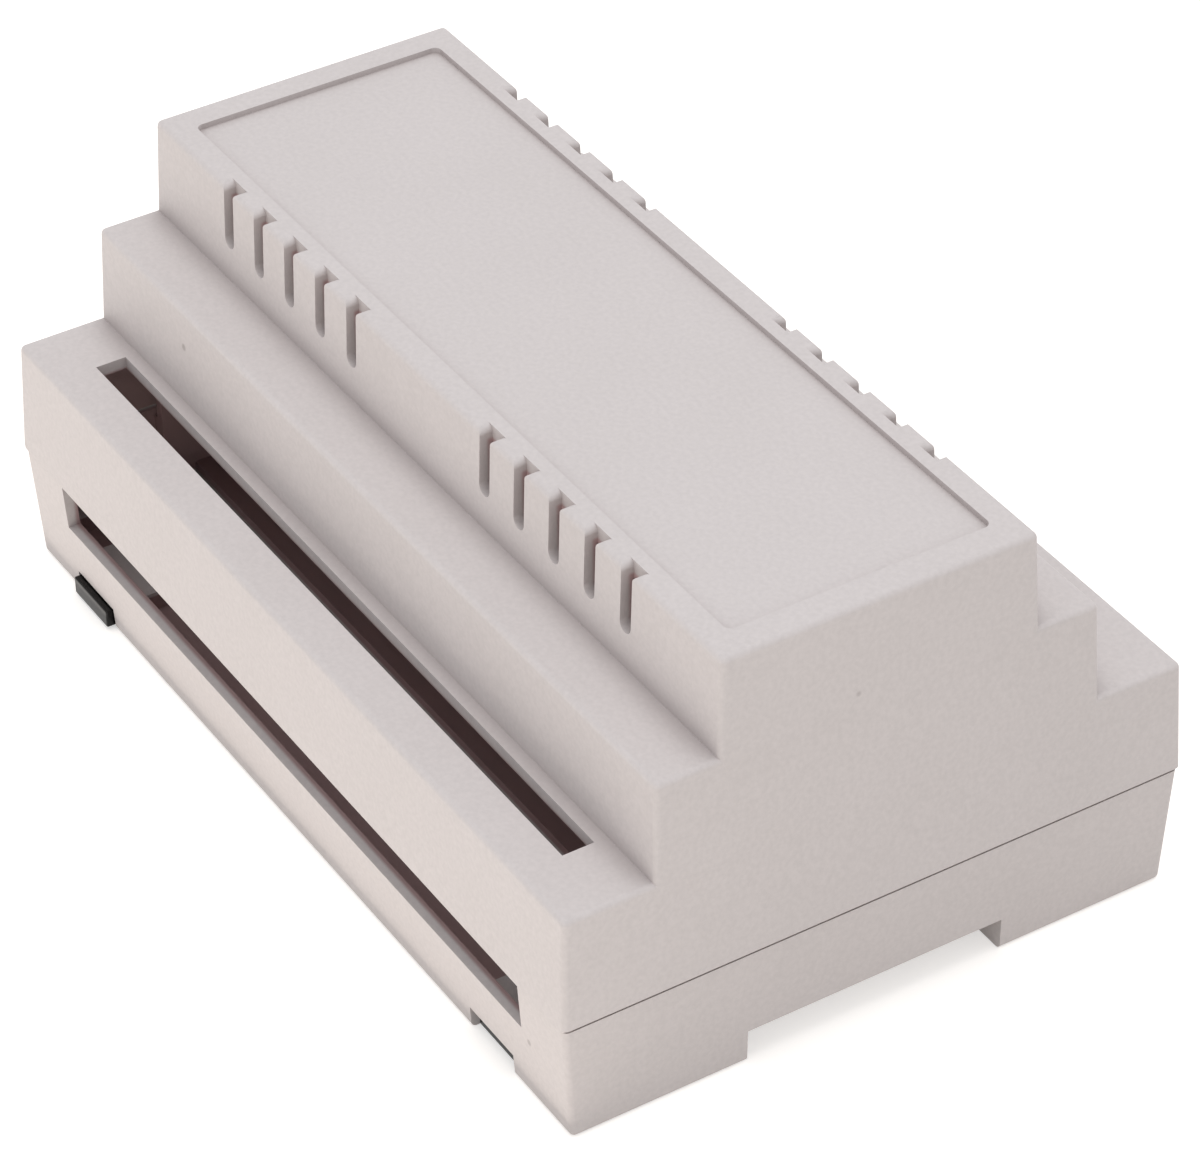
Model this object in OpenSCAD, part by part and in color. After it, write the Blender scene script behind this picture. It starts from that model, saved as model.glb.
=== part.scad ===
// Enclosure for a circuit module that clips onto a 35 mm top-hat rail.
// A tray-shaped base carries a stepped cover. Two sliding latches in the base hook under the rail.
// X runs along the rail, Y across it and Z up. The origin is the middle of the foot. Units are mm.

/* [Case] */
// Length along the rail, at the seam between base and cover
case_l = 140; // [132:0.5:200]
// Width across the rail, at the seam
case_w = 90; // [86:0.5:110]
// Height from the foot to the top of the nose
case_h = 62.8; // [58:0.1:75]
// Thickness of the moulded walls
wall_t = 1.8; // [1.4:0.1:2.2]
// Slope of the cover's sides, as run for each unit of height
draft = 0.036; // [0:0.002:0.05]
// Radius of the outer edges
edge_r = 0.8; // [0.4:0.1:1.2]

/* [Steps of the cover] */
// Height of the seam between base and cover
seam_z = 17.75; // [16:0.05:20]
// Height of the lower step, over the terminals
terrace_z = 34.5; // [30:0.1:38]
// Height of the upper step
shoulder_z = 48.8; // [45:0.1:52]
// Width of the upper step's top
shoulder_w = 62.8; // [58:0.1:66]
// Width of the nose's top
nose_w = 44.4; // [40:0.1:48]

/* [Terminal openings] */
// Length of the openings along each long side
opening_l = 118; // [80:1:122]
// Width of the screwdriver slot in the lower step
screw_slot_w = 4.4; // [3:0.1:5.5]
// Distance from the upper step's foot to the screwdriver slot
screw_slot_gap = 1.8; // [1:0.1:2.5]
// Height of the wire entry below the seam
wire_slot_h = 7.3; // [5:0.1:8]

/* [Vents] */
// Vent slots in each group
vent_count = 5; // [2:1:6]
// Distance between neighbouring vent slots
vent_pitch = 8; // [6:0.5:9]
// Distance from the middle of the case to the middle of a group
vent_group_x = 32.25; // [28:0.25:36]
// Width of a vent slot
vent_w = 2.4; // [1.6:0.1:3]
// Height of a vent slot, down from the nose's top
vent_h = 9; // [6:0.5:11]
// Radius where a vent slot runs over the edge of the nose
vent_flare_r = 1; // [0.4:0.1:1.5]

/* [Label recess] */
// Length of the recess in the nose's top
label_l = 128; // [60:1:130]
// Width of the recess
label_w = 37; // [20:0.5:39]
// Depth of the recess
label_d = 0.8; // [0.3:0.1:1.2]
// Corner radius of the recess
label_r = 1; // [0.5:0.1:4]

/* [Base] */
// How far the foot is in from the seam at each end
foot_in_l = 0.8; // [0.4:0.1:2]
// How far the foot is in from the seam at each long side
foot_in_w = 1.3; // [0.4:0.1:2]
// How far the base's rim stays inside the edge of the cover
rim_step = 0.25; // [0.1:0.05:0.5]
// Thickness of the floor
floor_t = 1.8; // [1.4:0.1:2.4]

/* [Rail] */
// Width of the rail
rail_w = 35; // [34.5:0.1:35.5]
// Thickness of the rail's flange
rail_t = 1; // [0.8:0.1:1.2]
// Side play of the rail in its groove
rail_play = 0.3; // [0.2:0.1:0.6]
// Width of the groove
groove_w = 37.5; // [36.5:0.1:38.5]
// Depth of the groove
groove_d = 5; // [4.8:0.1:5.5]
// Overlap of a hook under the rail's flange
hook_reach = 1.9; // [1.2:0.1:2]
// Length of a fixed hook along the rail
hook_l = 10; // [6:0.5:14]

/* [Latches] */
// Distance from the case's left end to the middle of the left latch
latch_left_in = 17; // [14:0.5:40]
// Distance from the case's right end to the middle of the right latch
latch_right_in = 19; // [14:0.5:40]
// Width of a latch
latch_w = 9.6; // [8:0.1:11]
// Thickness of a latch
latch_t = 2.7; // [2.4:0.1:2.8]
// Travel of a latch from hooked to released
latch_travel = 3; // [2.4:0.1:3]
// Depth of a hooked latch's front behind the edge of the foot
latch_front_in = 1.9; // [1.8:0.1:2.4]
// How far the left latch is drawn out
left_out = 3; // [0:0.1:3]
// How far the right latch is drawn out
right_out = 0; // [0:0.1:3]
// Running clearance around a latch
latch_play = 0.3; // [0.3:0.05:0.4]
// Height of a latch above the surface that the case stands on
latch_lift = 0.4; // [0.3:0.05:0.5]

/* [Board posts and snaps] */
// Distance between the board posts along the case
post_pitch_l = 127; // [110:0.5:128]
// Distance between the board posts across the case
post_pitch_w = 60; // [50:0.5:70]
// Diameter of a board post
post_d = 6; // [5:0.1:7]
// Diameter of the screw hole in a board post
pilot_d = 2.3; // [1.8:0.1:3]
// Height of the board posts' tops
post_z = 9; // [8:0.1:9.5]
// Distance from the middle of the case to a snap arm, across the case
snap_y = 22; // [20:0.5:26]
// Width of a snap arm
snap_w = 8; // [5:0.5:10]
// Thickness of a snap arm
snap_t = 1.5; // [1.2:0.1:1.8]
// Height of the snap arms above the seam
snap_h = 6; // [5:0.1:8]
// Overlap of a snap arm's nose over the catch in the cover
snap_bite = 0.75; // [0.5:0.05:0.9]
// Clearance around the snaps and the tongue
snap_gap = 0.15; // [0.1:0.05:0.25]
// Length of the tongue in the middle of each end
tongue_l = 28; // [16:1:30]
// Height of the tongue above the seam
tongue_h = 2.2; // [1.5:0.1:3]

/* [Hidden] */
$fn = 32;
CASE_GREY = [0.84, 0.82, 0.8];
LATCH_BLACK = [0.06, 0.06, 0.065];
// A cut runs past the face that it opens by this much
cut = 1;
// A raised piece is sunk into what carries it by this much
sink = 0.4;
// Outlines of the foot and the rim
foot_l = case_l - 2 * foot_in_l;
foot_w = case_w - 2 * foot_in_w;
rim_l = case_l - 2 * rim_step;
rim_w = case_w - 2 * rim_step;
shoulder_foot = shoulder_w / 2 + draft * (shoulder_z - terrace_z);
// Rail, groove and hooks: the rail's far edge lies against the fixed hooks
groove_y = groove_w / 2;
band_y = groove_y + wall_t;
rail_far_y = groove_y - rail_play;
rail_near_y = rail_far_y - rail_w;
hook_top = groove_d - rail_t - 0.2;
hook_bevel = 0.6 * (hook_top - latch_lift);
// Latch channels
latch_left_x = latch_left_in - case_l / 2;
latch_right_x = case_l / 2 - latch_right_in;
channel_w = latch_w + 2 * latch_play;
channel_z = latch_lift + latch_t + latch_play;
hump_t = 1.3;
ledge_w = 0.9;
ledge_t = latch_lift + 0.7;
// A hooked latch along Y, from its front to its tip
front_y = -foot_w / 2 + latch_front_in;
tip_y = rail_near_y + hook_reach;
head_l = 3;
toe_l = 3.4;
lip_l = 2.6;
stop_gap = 0.35;
ledge_y0 = front_y + head_l + stop_gap;
ledge_y1 = tip_y - toe_l - latch_travel - stop_gap;
// Snaps, measured from the cover's inner end face at the seam
snap_in = snap_bite + 2 * snap_gap;
catch_t = 1.2;
catch_z = seam_z + snap_h - 2 * catch_t - 1.2;
root_z = 10;

// Half the length of the cover at height z
function end_x(z) = case_l / 2 - draft * (z - seam_z);
// Half the width, at height z, of a step whose top is w wide at height top
function side_y(w, top, z) = w / 2 + draft * (top - z);
// The lower step is set by its width at the seam
function lower_y(z) = side_y(case_w, seam_z, z);
// Half the length and the width of the base at height z
function base_x(z) = (foot_l + (rim_l - foot_l) * z / seam_z) / 2;
function base_y(z) = (foot_w + (rim_w - foot_w) * z / seam_z) / 2;
// An outline mirrored about the vertical axis
function both_sides(pts) = concat(pts, [for (i = [len(pts) - 1:-1:0]) [-pts[i][0], pts[i][1]]]);

// A profile across the case, drawn in Y and Z, run along X
module along_x(l) {
  rotate([90, 0, 90]) linear_extrude(height = l, center = true) children();
}

// A profile along the case, drawn in X and Z, run along Y
module along_y(w) {
  rotate([90, 0, 0]) linear_extrude(height = w, center = true) children();
}

// A box between two corners
module box(low, high) {
  translate(low) cube(high - low);
}

// A flat rectangle with round corners
module round_rect(l, w, r) {
  square([l - 2 * r, w], center = true);
  square([l, w - 2 * r], center = true);
  for (x = [-1, 1], y = [-1, 1])
    translate([x * (l / 2 - r), y * (w / 2 - r)]) circle(r);
}

// A block with sloping sides: x0 by y0 half sizes at height z0, x1 by y1 at z1.
// Its vertical edges are round, and so are the edges at z1, or at z0 where ball_low is set.
module drafted_block(x0, y0, z0, x1, y1, z1, ball_low = false) {
  hull() for (x = [-1, 1], y = [-1, 1]) {
    translate([x * (x0 - edge_r), y * (y0 - edge_r), z0]) edge_end(ball_low);
    mirror([0, 0, 1]) translate([x * (x1 - edge_r), y * (y1 - edge_r), -z1]) edge_end(!ball_low);
  }
}

// The lower end of a round vertical edge, as a ball or as a thin disc
module edge_end(ball) {
  disc_t = 0.01;
  if (ball) translate([0, 0, edge_r]) rotate_extrude() intersection() {
    circle(edge_r);
    translate([0, -edge_r]) square([edge_r, 2 * edge_r]);
  }
  else cylinder(r = edge_r, h = disc_t);
}

// One step of the cover, down to height z0
module cover_step(w, top, z0) {
  drafted_block(end_x(z0), w / 2 + draft * (top - z0), z0, end_x(top), w / 2, top);
}

// Outer form of the cover: three steps that share their end faces
module cover_outside() {
  cover_step(2 * lower_y(terrace_z), terrace_z, seam_z);
  cover_step(shoulder_w, shoulder_z, terrace_z - 2 * edge_r);
  cover_step(nose_w, case_h, shoulder_z - 2 * edge_r);
}

// Inside of the cover, one wall thickness in from the outside
module cover_inside() {
  low = seam_z - cut;
  terrace_in = terrace_z - wall_t;
  shoulder_in = shoulder_z - wall_t;
  nose_in = case_h - wall_t - label_d;
  across = [
    [lower_y(low) - wall_t, low],
    [lower_y(terrace_in) - wall_t, terrace_in],
    [side_y(shoulder_w, shoulder_z, terrace_in) - wall_t, terrace_in],
    [side_y(shoulder_w, shoulder_z, shoulder_in) - wall_t, shoulder_in],
    [side_y(nose_w, case_h, shoulder_in) - wall_t, shoulder_in],
    [side_y(nose_w, case_h, nose_in) - wall_t, nose_in]
  ];
  along = [
    [end_x(low) - wall_t, low],
    [end_x(nose_in) - wall_t, nose_in]
  ];
  intersection() {
    along_x(case_l) polygon(both_sides(across));
    along_y(case_w) polygon(both_sides(along));
  }
}

// Outline of one vent slot in X and Z, flared where it runs over the nose's edge
module vent_outline() {
  r = vent_w / 2;
  flare = vent_flare_r;
  translate([0, case_h - vent_h + r]) circle(r);
  translate([-r, case_h - vent_h + r]) square([vent_w, vent_h - r + cut]);
  difference() {
    translate([-r - flare, case_h - flare]) square([vent_w + 2 * flare, flare + cut]);
    for (s = [-1, 1])
      translate([s * (r + flare), case_h - flare]) circle(flare);
  }
}

// Vent slots through both side walls of the nose
module vents() {
  for (side = [-1, 1], group = [-1, 1], i = [0:vent_count - 1])
    translate([group * vent_group_x + (i - (vent_count - 1) / 2) * vent_pitch, side * nose_w / 2, 0])
      along_y(2 * wall_t) vent_outline();
}

// Screwdriver slots through the lower step, over the terminals
module screw_slots() {
  for (side = [-1, 1])
    translate([0, side * (shoulder_foot + screw_slot_gap + screw_slot_w / 2), terrace_z])
      cube([opening_l, screw_slot_w, 2 * wall_t + cut], center = true);
}

// Ledges inside the cover's ends that the base's snap arms hook over
module snap_catches() {
  for (end = [-1, 1], side = [-1, 1])
    scale([end, side, 1])
      box([end_x(seam_z) - wall_t - snap_bite - snap_gap, snap_y - snap_w / 2, catch_z],
          [end_x(seam_z) - wall_t + sink, snap_y + snap_w / 2, catch_z + catch_t]);
}

module top_cover() {
  color(CASE_GREY) {
    difference() {
      cover_outside();
      cover_inside();
      translate([0, 0, case_h - label_d]) linear_extrude(height = label_d + cut)
        round_rect(label_l, label_w, label_r);
      vents();
      screw_slots();
    }
    snap_catches();
  }
}

// Outer form of the base, narrower at the foot than at the rim
module base_outside() {
  drafted_block(foot_l / 2, foot_w / 2, 0, rim_l / 2, rim_w / 2, seam_z, ball_low = true);
}

// Inside of the base tray
module base_inside() {
  high = seam_z + cut;
  intersection() {
    along_x(case_l) polygon(both_sides([
      [base_y(floor_t) - wall_t, floor_t],
      [base_y(high) - wall_t, high]
    ]));
    along_y(case_w) polygon(both_sides([
      [base_x(floor_t) - wall_t, floor_t],
      [base_x(high) - wall_t, high]
    ]));
  }
}

// Raised parts of the floor: the band over the rail and a hump over each latch
module raised_floor() {
  intersection() {
    base_outside();
    union() {
      box([-case_l / 2, -band_y, 0], [case_l / 2, band_y, groove_d + wall_t]);
      for (x = [latch_left_x, latch_right_x])
        box([x - channel_w / 2 - hump_t, -case_w / 2, 0],
            [x + channel_w / 2 + hump_t, -groove_y, channel_z + hump_t]);
    }
  }
}

// Channel of one latch, from the long side to the rail groove, with room for the latch's lip
module latch_channel() {
  lip_y = tip_y - lip_l - latch_travel - stop_gap;
  box([-channel_w / 2, -case_w / 2 - cut, -cut], [channel_w / 2, -groove_y + cut, channel_z]);
  box([-channel_w / 2, lip_y, -cut], [channel_w / 2, -groove_y + cut, hook_top + latch_play]);
}

// Ledges along the channel that carry the latch, which also stop it at both ends of its travel
module channel_ledges() {
  for (s = [-1, 1])
    scale([s, 1, 1])
      box([channel_w / 2 - ledge_w, ledge_y0, 0], [channel_w / 2 + sink, ledge_y1, ledge_t]);
}

// Fixed hook on the far side of the groove, opposite each latch
module fixed_hook() {
  along_x(hook_l) polygon([
    [groove_y + sink, latch_lift],
    [rail_far_y - hook_reach + hook_bevel, latch_lift],
    [rail_far_y - hook_reach, latch_lift + hook_bevel],
    [rail_far_y - hook_reach, hook_top],
    [groove_y + sink, hook_top]
  ]);
}

// Posts for the circuit board, each with a rib to the end wall
module board_posts() {
  rib_t = 1.2;
  for (end = [-1, 1], side = [-1, 1])
    scale([end, side, 1])
      translate([post_pitch_l / 2, post_pitch_w / 2, 0]) {
        translate([0, 0, floor_t - sink]) cylinder(d = post_d, h = post_z - floor_t + sink);
        box([0, -rib_t / 2, floor_t - sink],
            [base_x(0) - wall_t + sink - post_pitch_l / 2, rib_t / 2, post_z - 1]);
      }
}

// Blind screw holes in the board posts
module pilot_holes() {
  for (x = [-1, 1], y = [-1, 1])
    translate([x * post_pitch_l / 2, y * post_pitch_w / 2, floor_t])
      cylinder(d = pilot_d, h = post_z - floor_t + cut);
}

// Snap arms on the ends of the base, with noses over the catches in the cover
module snap_arms() {
  out_x = end_x(seam_z) - wall_t - snap_in;
  nose_z = catch_z + catch_t + snap_gap;
  top_z = seam_z + snap_h;
  for (end = [-1, 1], side = [-1, 1])
    scale([end, side, 1])
      translate([0, snap_y, 0]) {
        along_y(snap_w) polygon([
          [out_x - snap_t, root_z],
          [out_x, root_z],
          [out_x, nose_z],
          [out_x + snap_bite, nose_z],
          [out_x + snap_bite, nose_z + snap_gap],
          [out_x, top_z],
          [out_x - snap_t, top_z]
        ]);
        box([out_x - sink, -snap_w / 2, root_z], [base_x(root_z) - wall_t + sink, snap_w / 2, seam_z - 1]);
      }
}

// Tongue in the middle of each end that lines up the cover
module tongues() {
  out_x = end_x(seam_z + tongue_h) - wall_t - snap_gap;
  for (end = [-1, 1])
    scale([end, 1, 1]) {
      box([out_x - snap_t, -tongue_l / 2, root_z], [out_x, tongue_l / 2, seam_z + tongue_h]);
      box([out_x - sink, -tongue_l / 2, root_z], [base_x(root_z) - wall_t + sink, tongue_l / 2, seam_z - 1]);
    }
}

// Wire entries: the long walls are cut down from the rim
module wire_slots() {
  for (side = [-1, 1])
    translate([-opening_l / 2, side * (case_w / 2 - wall_t) - 2 * wall_t, seam_z - wire_slot_h])
      cube([opening_l, 4 * wall_t, wire_slot_h + cut]);
}

module base() {
  color(CASE_GREY) {
    difference() {
      union() {
        difference() {
          base_outside();
          base_inside();
          wire_slots();
        }
        raised_floor();
        board_posts();
      }
      box([-case_l / 2 - cut, -groove_y, -cut], [case_l / 2 + cut, groove_y, groove_d]);
      for (x = [latch_left_x, latch_right_x])
        translate([x, 0, 0]) latch_channel();
      pilot_holes();
    }
    for (x = [latch_left_x, latch_right_x])
      translate([x, 0, 0]) {
        channel_ledges();
        fixed_hook();
      }
    snap_arms();
    tongues();
  }
}

// Side outline of a hooked latch in Y and Z, with its raised, bevelled lip
module latch_outline() {
  top = latch_lift + latch_t;
  polygon([
    [front_y, latch_lift],
    [tip_y - hook_bevel, latch_lift],
    [tip_y, latch_lift + hook_bevel],
    [tip_y, hook_top],
    [tip_y - lip_l, hook_top],
    [tip_y - lip_l, top],
    [front_y, top]
  ]);
}

// One latch: a flat slider with side grooves for the ledges and a slot for a screwdriver
module rail_latch(x, out) {
  groove_in = latch_w / 2 - ledge_w;
  blade_l = 5;
  blade_t = 1.2;
  color(LATCH_BLACK)
    translate([x, -out, 0]) difference() {
      along_x(latch_w) latch_outline();
      for (s = [-1, 1])
        scale([s, 1, 1])
          box([groove_in, front_y + head_l, latch_lift - cut],
              [latch_w / 2 + cut, tip_y - toe_l, ledge_t + latch_play]);
      box([-blade_l / 2, front_y + blade_t, latch_lift - cut],
          [blade_l / 2, front_y + 2 * blade_t, channel_z]);
    }
}

module rail_latch_left() {
  rail_latch(latch_left_x, left_out);
}

module rail_latch_right() {
  rail_latch(latch_right_x, right_out);
}

base();
top_cover();
rail_latch_left();
rail_latch_right();
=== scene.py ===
import math

import bpy
from mathutils import Matrix, Vector


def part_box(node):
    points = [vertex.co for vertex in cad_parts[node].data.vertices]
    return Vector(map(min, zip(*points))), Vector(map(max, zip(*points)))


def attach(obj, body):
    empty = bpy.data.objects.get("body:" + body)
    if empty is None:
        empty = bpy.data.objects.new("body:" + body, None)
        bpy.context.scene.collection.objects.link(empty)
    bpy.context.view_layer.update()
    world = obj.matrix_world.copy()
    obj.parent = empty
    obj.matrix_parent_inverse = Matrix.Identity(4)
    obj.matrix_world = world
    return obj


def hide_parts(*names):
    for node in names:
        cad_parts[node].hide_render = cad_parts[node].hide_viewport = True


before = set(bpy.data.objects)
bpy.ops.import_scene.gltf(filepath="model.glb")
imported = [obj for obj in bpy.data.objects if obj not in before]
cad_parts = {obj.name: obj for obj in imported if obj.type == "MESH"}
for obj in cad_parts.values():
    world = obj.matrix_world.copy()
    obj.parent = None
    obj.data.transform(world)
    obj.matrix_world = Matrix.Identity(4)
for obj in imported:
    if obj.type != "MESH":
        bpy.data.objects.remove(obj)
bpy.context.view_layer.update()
scene = bpy.context.scene
scene.view_settings.view_transform = "Standard"

MM = 0.001
TOUCH = 0.02 * MM  # points closer than this are one

# The rooms inside the shell, from the nose down: half width across the case, and top
ROOMS = (
    (21.4 * MM, 61.3 * MM),
    (30.8 * MM, 47.6 * MM),
    (43.4 * MM, 33.2 * MM),
)
ROOM_X = 68.7 * MM  # half length of the rooms at the seam
ROOM_FLOOR = 5.3 * MM
SEAM_Z = 17.75 * MM  # height of the seam between the base and the cover
DRAFT = 0.036  # lean of the end walls, a length for each length of height
# The lowest part of the inside, on either side of the rail groove
WELL_NEAR, WELL_FAR = 20.9 * MM, 42.4 * MM
WELL_FLOOR, WELL_TOP = 1.5 * MM, 4.3 * MM
SOFT = 0.6 * MM  # width over which the painted inside shade fades in

# Specks of dirt: place and radius in millimetres, and strength
SPECKS = (
    ((69.4, -3.4, 50.2), 0.8, 0.6),
    ((-45.4, -31.7, 43.2), 0.7, 0.4),
    ((60.6, -44.2, 9.2), 0.6, 0.35),
)

# Colours of the case, the painted shade of its corners and inside, and of the latches
CASE_LIGHT = (0.655, 0.604, 0.590)
CASE_DARK = (0.641, 0.591, 0.576)
# Painted shade colour for corners, creases and slots
PAINTED_CORNER_SHADE = (0.40, 0.345, 0.335)
# Painted shade colour for the faces inside the shell
PAINTED_INSIDE_SHADE = (0.42, 0.29, 0.285)
DIRT = (0.16, 0.12, 0.11)
LATCH_LIGHT = (0.005, 0.0045, 0.0045)
LATCH_DARK = (0.003, 0.0025, 0.0025)

# Forms made here: the gap at the seam's ends, and the right latch's finger lip
SEAM_GAP = 0.5 * MM
RIM_OUTER = 0.7 * MM  # the rim's outer edge lies this close to the cover's end
RIM_INNER = 2.5 * MM  # and its inner edge this close
LONG_WALL = 1.5 * MM  # the inner edge ends this far from the cover's long sides
LIP = 0.9 * MM
LATCH_FRONT = 1.2 * MM  # depth of the latch's front that the lip moves


# ---------------------------------------------------------------- camera

def add_camera(place, target, roll, lens):
    """A camera at place that looks at target, turned by roll degrees about its own axis."""
    data = bpy.data.cameras.new("camera")
    data.lens = lens
    data.sensor_width = 36
    data.clip_start, data.clip_end = 0.01, 20
    cam = bpy.data.objects.new("camera", data)
    scene.collection.objects.link(cam)
    turn = (target - place).to_track_quat("-Z", "Y").to_matrix()
    turn = turn @ Matrix.Rotation(math.radians(roll), 3, "Z")
    cam.matrix_world = Matrix.Translation(place) @ turn.to_4x4()
    scene.camera = cam


add_camera(
    place=Vector((428.67, -259.09, 405.59)) * MM,
    target=Vector((11.864, -3.512, 30)) * MM,
    roll=-0.824,
    lens=146.14,
)


# ---------------------------------------------------------------- node helpers

def new_material(name):
    """An empty node material with its output and a Principled shader."""
    mat = bpy.data.materials.new(name)
    mat.use_nodes = True
    nodes = mat.node_tree.nodes
    nodes.clear()
    out = nodes.new("ShaderNodeOutputMaterial")
    shader = nodes.new("ShaderNodeBsdfPrincipled")
    mat.node_tree.links.new(shader.outputs["BSDF"], out.inputs["Surface"])
    return mat, shader, out


def noise(mat, scale, detail, coords):
    """A noise texture in object space, scale in cycles per metre."""
    node = mat.node_tree.nodes.new("ShaderNodeTexNoise")
    node.inputs["Scale"].default_value = scale
    node.inputs["Detail"].default_value = detail
    mat.node_tree.links.new(coords.outputs["Object"], node.inputs["Vector"])
    return node


def spread(mat, source, low, high):
    """Maps a noise of 0.3 to 0.7 onto low to high."""
    node = mat.node_tree.nodes.new("ShaderNodeMapRange")
    node.inputs["From Min"].default_value = 0.3
    node.inputs["From Max"].default_value = 0.7
    node.inputs["To Min"].default_value = low
    node.inputs["To Max"].default_value = high
    mat.node_tree.links.new(source.outputs["Fac"], node.inputs["Value"])
    return node


def calc(mat, operation, first, second):
    """A math node; each input is a socket or a plain number."""
    node = mat.node_tree.nodes.new("ShaderNodeMath")
    node.operation = operation
    for slot, value in zip(node.inputs, (first, second)):
        if isinstance(value, (int, float)):
            slot.default_value = value
        else:
            mat.node_tree.links.new(value, slot)
    return node.outputs["Value"]


def ramp(mat, value, start, end, low=0.0, high=1.0):
    """A soft step of value, from low at start to high at end."""
    node = mat.node_tree.nodes.new("ShaderNodeMapRange")
    node.interpolation_type = "SMOOTHSTEP"
    node.inputs["From Min"].default_value = start
    node.inputs["From Max"].default_value = end
    node.inputs["To Min"].default_value = low
    node.inputs["To Max"].default_value = high
    mat.node_tree.links.new(value, node.inputs["Value"])
    return node.outputs["Result"]


def blend_colours(mat, factor, first, second):
    """Mixes two colours, each a socket or a tuple, by factor."""
    node = mat.node_tree.nodes.new("ShaderNodeMix")
    node.data_type = "RGBA"
    mat.node_tree.links.new(factor, node.inputs["Factor"])
    for slot, value in zip((node.inputs[6], node.inputs[7]), (first, second)):
        if isinstance(value, tuple):
            slot.default_value = (*value, 1)
        else:
            mat.node_tree.links.new(value, slot)
    return node.outputs[2]


def painted_inside_shade_mask(mat, coords):
    """1 on the faces inside the shell, 0 on those outside: the mask of the painted inside shade."""
    split = mat.node_tree.nodes.new("ShaderNodeSeparateXYZ")
    mat.node_tree.links.new(coords.outputs["Object"], split.inputs["Vector"])
    x = calc(mat, "ABSOLUTE", split.outputs["X"], 0)
    y = calc(mat, "ABSOLUTE", split.outputs["Y"], 0)
    z = split.outputs["Z"]
    inside = 0
    for half_width, top in ROOMS:
        beside = ramp(mat, y, half_width, half_width - SOFT)
        below = ramp(mat, z, top, top - SOFT)
        inside = calc(mat, "MAXIMUM", calc(mat, "MULTIPLY", beside, below), inside)
    inside = calc(mat, "MULTIPLY", inside, ramp(mat, z, ROOM_FLOOR, ROOM_FLOOR + SOFT))
    past = ramp(mat, y, WELL_NEAR, WELL_NEAR + SOFT)
    short = ramp(mat, y, WELL_FAR, WELL_FAR - SOFT)
    well = calc(mat, "MULTIPLY", past, short)
    well = calc(mat, "MULTIPLY", well, ramp(mat, z, WELL_FLOOR, WELL_FLOOR + SOFT / 2))
    well = calc(mat, "MULTIPLY", well, ramp(mat, z, WELL_TOP, WELL_TOP - SOFT / 2))
    lean = calc(mat, "MULTIPLY", calc(mat, "SUBTRACT", z, SEAM_Z), DRAFT)
    within = ramp(mat, calc(mat, "ADD", x, lean), ROOM_X, ROOM_X - SOFT)
    return calc(mat, "MULTIPLY", calc(mat, "MAXIMUM", inside, well), within)


def specks(mat, coords, base):
    """Small dark specks of dirt at the places in SPECKS."""
    for place, radius, strength in SPECKS:
        gap = mat.node_tree.nodes.new("ShaderNodeVectorMath")
        gap.operation = "DISTANCE"
        mat.node_tree.links.new(coords.outputs["Object"], gap.inputs[0])
        gap.inputs[1].default_value = Vector(place) * MM
        mark = ramp(mat, gap.outputs["Value"], radius * MM, radius * MM * 0.4, 0.0, strength)
        base = blend_colours(mat, mark, base, DIRT)
    return base


def moulded_plastic(name, light, dark, rough, grain, specular):
    """Moulded plastic: cloudy colour between two tones, and the fine grain of a spark-eroded mould."""
    mat, shader, _ = new_material(name)
    nodes, links = mat.node_tree.nodes, mat.node_tree.links
    coords = nodes.new("ShaderNodeTexCoord")
    clouds = spread(mat, noise(mat, 60, 4, coords), 0, 1)
    base = blend_colours(mat, clouds.outputs["Result"], dark, light)
    fine = noise(mat, 2600, 4, coords)
    links.new(spread(mat, fine, rough - 0.05, rough + 0.05).outputs["Result"], shader.inputs["Roughness"])
    bump = nodes.new("ShaderNodeBump")
    bump.inputs["Strength"].default_value = grain
    bump.inputs["Distance"].default_value = 0.03 * MM
    links.new(fine.outputs["Fac"], bump.inputs["Height"])
    links.new(bump.outputs["Normal"], shader.inputs["Normal"])
    shader.inputs["Specular IOR Level"].default_value = specular
    return mat, shader, coords, base


def case_plastic():
    """Warm grey plastic, with painted shade in its corners and creases and painted shade on its inside
    faces.
    """
    mat, shader, coords, base = moulded_plastic(
        "case_plastic", light=CASE_LIGHT, dark=CASE_DARK, rough=0.55, grain=0.5, specular=0.3
    )
    grain = spread(mat, noise(mat, 1500, 2, coords), 0.965, 1.035)
    tint = mat.node_tree.nodes.new("ShaderNodeVectorMath")
    tint.operation = "SCALE"
    mat.node_tree.links.new(base, tint.inputs[0])
    mat.node_tree.links.new(grain.outputs["Result"], tint.inputs["Scale"])
    base = tint.outputs["Vector"]
    # Painted shade: an ambient occlusion test darkens the colour in corners, creases, slots and vents,
    # kept off the lowest 2 to 7 mm near the floor
    corner = mat.node_tree.nodes.new("ShaderNodeAmbientOcclusion")
    corner.samples = 8
    corner.inputs["Distance"].default_value = 5 * MM
    shade = ramp(mat, corner.outputs["AO"], 0.95, 0.40, 0.0, 0.60)
    split = mat.node_tree.nodes.new("ShaderNodeSeparateXYZ")
    mat.node_tree.links.new(coords.outputs["Object"], split.inputs["Vector"])
    shade = calc(mat, "MULTIPLY", shade, ramp(mat, split.outputs["Z"], 2 * MM, 7 * MM))
    base = blend_colours(mat, shade, base, PAINTED_CORNER_SHADE)
    # Painted shade: the faces inside the shell are darkened to a deep reddish tone
    base = blend_colours(mat, painted_inside_shade_mask(mat, coords), base, PAINTED_INSIDE_SHADE)
    base = specks(mat, coords, base)
    mat.node_tree.links.new(base, shader.inputs["Base Color"])
    return mat


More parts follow.
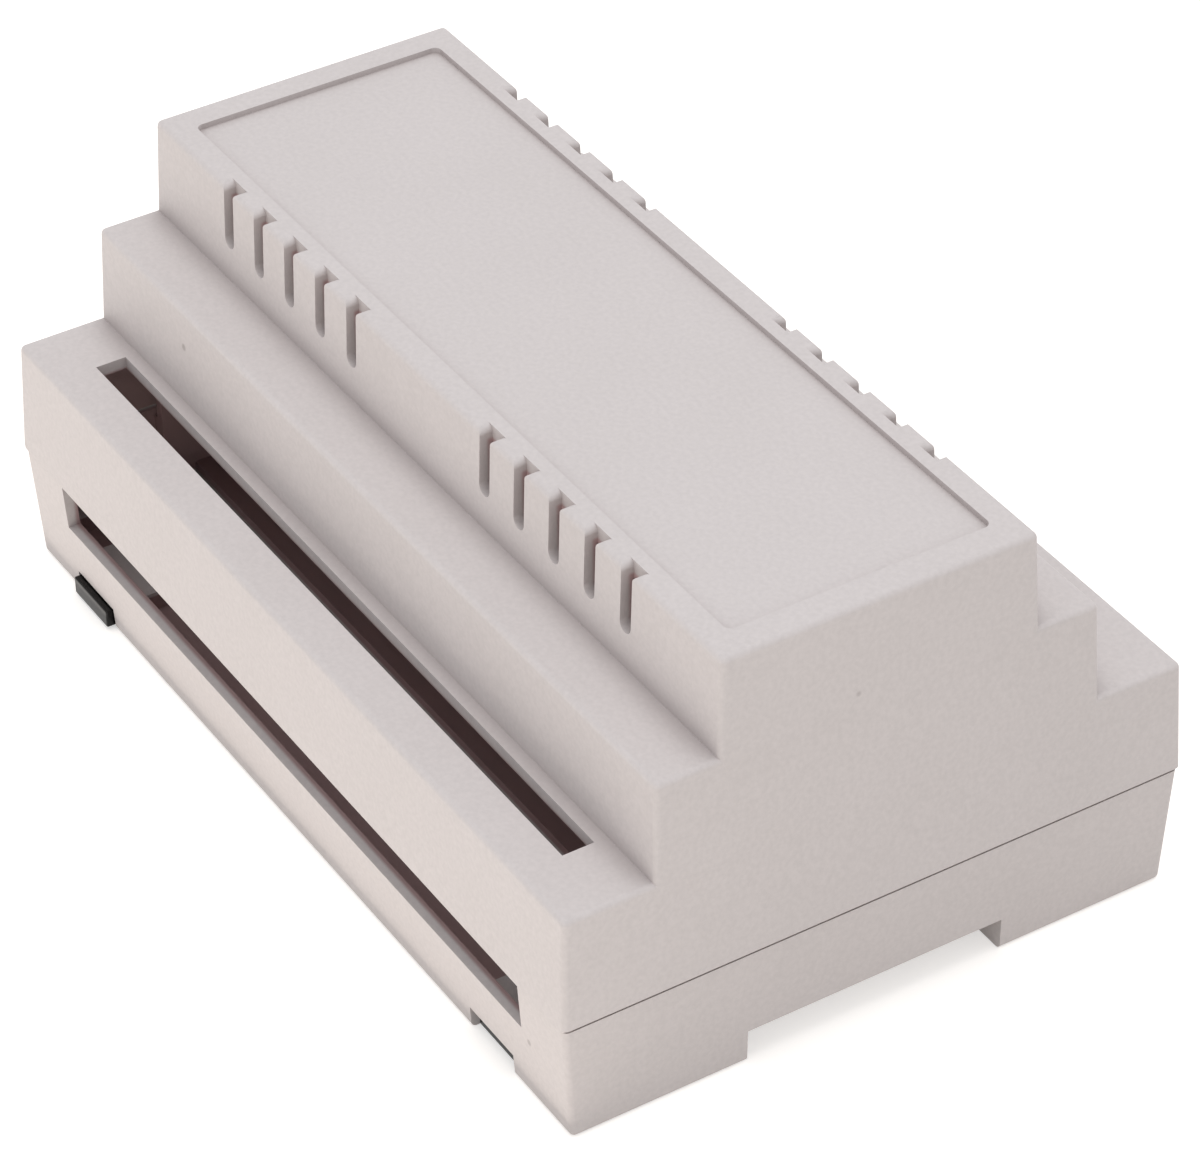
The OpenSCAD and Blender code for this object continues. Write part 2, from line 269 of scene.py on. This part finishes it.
def latch_plastic():
    """Black plastic with a satin face."""
    mat, shader, _, base = moulded_plastic(
        "latch_plastic", light=LATCH_LIGHT, dark=LATCH_DARK, rough=0.18, grain=0.15, specular=0.22
    )
    mat.node_tree.links.new(base, shader.inputs["Base Color"])
    return mat


CASE = case_plastic()
LATCH = latch_plastic()


# ---------------------------------------------------------------- the CAD pieces

def soften(piece, mat, width):
    """Gives a piece its material and the small moulded radii of its sharp edges."""
    piece.data.materials.clear()
    piece.data.materials.append(mat)
    weld = piece.modifiers.new("weld", "WELD")
    weld.merge_threshold = TOUCH
    flat = piece.modifiers.new("flat", "DECIMATE")
    flat.decimate_type = "DISSOLVE"
    flat.angle_limit = math.radians(0.5)
    bevel = piece.modifiers.new("bevel", "BEVEL")
    bevel.width = width
    bevel.segments = 2
    bevel.limit_method = "ANGLE"
    bevel.angle_limit = math.radians(40)
    smooth = piece.modifiers.new("normals", "WEIGHTED_NORMAL")
    smooth.keep_sharp = False
    return piece


def stand_in(node, name, body):
    """A copy of a CAD node's mesh that stands for it and rides on its body."""
    piece = bpy.data.objects.new(name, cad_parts[node].data.copy())
    scene.collection.objects.link(piece)
    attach(piece, body)
    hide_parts(node)
    return piece


def cover_with_seam():
    """The cover, with its rim a hair above the base at both ends."""
    piece = stand_in("top_cover", "cover_shell", "case")
    low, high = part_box("top_cover")
    for vertex in piece.data.vertices:
        x, y, z = abs(vertex.co.x), abs(vertex.co.y), vertex.co.z
        at_rim = z < low[2] + TOUCH
        outer = x > high[0] - RIM_OUTER
        inner = x > high[0] - RIM_INNER and y < high[1] - LONG_WALL
        if at_rim and (outer or inner):
            vertex.co.z += SEAM_GAP
    return piece


def latch_with_lip():
    """The hooked latch, with a finger lip that shows under the notch in the base."""
    piece = stand_in("rail_latch_right", "right_latch_shell", "right_latch")
    low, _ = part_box("rail_latch_right")
    for vertex in piece.data.vertices:
        if vertex.co.y < low[1] + LATCH_FRONT:
            vertex.co.y -= LIP
    return piece


soften(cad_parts["base"], CASE, 0.22 * MM)
soften(cover_with_seam(), CASE, 0.18 * MM)
soften(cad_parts["rail_latch_left"], LATCH, 0.3 * MM)
soften(latch_with_lip(), LATCH, 0.12 * MM)


# ---------------------------------------------------------------- floor, sky and lamps

def seen_directly(tree, path):
    """1 for rays that show a background: from the camera, off gloss or through glass."""
    total = path.outputs["Is Camera Ray"]
    for kind in ("Is Glossy Ray", "Is Transmission Ray"):
        add = tree.nodes.new("ShaderNodeMath")
        add.operation = "MAXIMUM"
        tree.links.new(total, add.inputs[0])
        tree.links.new(path.outputs[kind], add.inputs[1])
        total = add.outputs["Value"]
    return total


def add_floor(size, z):
    """A pale floor at height z that shows as white to the camera and keeps the object's shadow."""
    mesh = bpy.data.meshes.new("floor")
    s = size / 2
    mesh.from_pydata([(-s, -s, z), (s, -s, z), (s, s, z), (-s, s, z)], [], [(0, 1, 2, 3)])
    floor = bpy.data.objects.new("floor", mesh)
    scene.collection.objects.link(floor)
    mat, shader, out = new_material("floor")
    nodes, links = mat.node_tree.nodes, mat.node_tree.links
    shader.inputs["Base Color"].default_value = (0.86, 0.82, 0.77, 1)
    shader.inputs["Roughness"].default_value = 1
    shader.inputs["Specular IOR Level"].default_value = 0
    glow = nodes.new("ShaderNodeEmission")
    glow.inputs["Strength"].default_value = 0.5
    both = nodes.new("ShaderNodeAddShader")
    links.new(shader.outputs["BSDF"], both.inputs[0])
    links.new(glow.outputs["Emission"], both.inputs[1])
    path = nodes.new("ShaderNodeLightPath")
    pick = nodes.new("ShaderNodeMixShader")
    links.new(seen_directly(mat.node_tree, path), pick.inputs["Fac"])
    links.new(shader.outputs["BSDF"], pick.inputs[1])
    links.new(both.outputs["Shader"], pick.inputs[2])
    links.new(pick.outputs["Shader"], out.inputs["Surface"])
    mesh.materials.append(mat)


def add_sky(level):
    """A plain sky that lights at level and shows as white to the camera and in reflections."""
    world = bpy.data.worlds.new("sky")
    scene.world = world
    world.use_nodes = True
    nodes, links = world.node_tree.nodes, world.node_tree.links
    nodes.clear()
    out = nodes.new("ShaderNodeOutputWorld")
    light = nodes.new("ShaderNodeBackground")
    light.inputs["Strength"].default_value = level
    light.inputs["Color"].default_value = (0.985, 1.0, 1.03, 1)
    white = nodes.new("ShaderNodeBackground")
    white.inputs["Strength"].default_value = 1
    pick = nodes.new("ShaderNodeMixShader")
    path = nodes.new("ShaderNodeLightPath")
    links.new(seen_directly(world.node_tree, path), pick.inputs["Fac"])
    links.new(light.outputs["Background"], pick.inputs[1])
    links.new(white.outputs["Background"], pick.inputs[2])
    links.new(pick.outputs["Shader"], out.inputs["Surface"])


def add_lamp(name, place, size_x, size_y, power, colour, aim_at):
    """A soft area lamp at place, turned to aim_at and not seen by the camera."""
    data = bpy.data.lights.new(name, "AREA")
    data.shape = "RECTANGLE"
    data.size, data.size_y = size_x, size_y
    data.energy = power
    data.color = colour
    lamp = bpy.data.objects.new(name, data)
    scene.collection.objects.link(lamp)
    place = Vector(place)
    aim = (Vector(aim_at) - place).to_track_quat("-Z", "Y")
    lamp.visible_camera = False
    lamp.matrix_world = Matrix.Translation(place) @ aim.to_matrix().to_4x4()


add_floor(size=6, z=-0.05 * MM)
add_sky(level=0.74)
add_lamp(
    "ceiling", place=(0, 0, 1.5), size_x=1.0, size_y=1.0,
    power=6.6, colour=(1, 1, 1), aim_at=(0, 0, 0),
)
add_lamp(
    "bounce", place=(0, -0.26, 0.002), size_x=0.9, size_y=0.43,
    power=0.62, colour=(1, 0.93, 0.85), aim_at=(0, -0.26, 1),
)
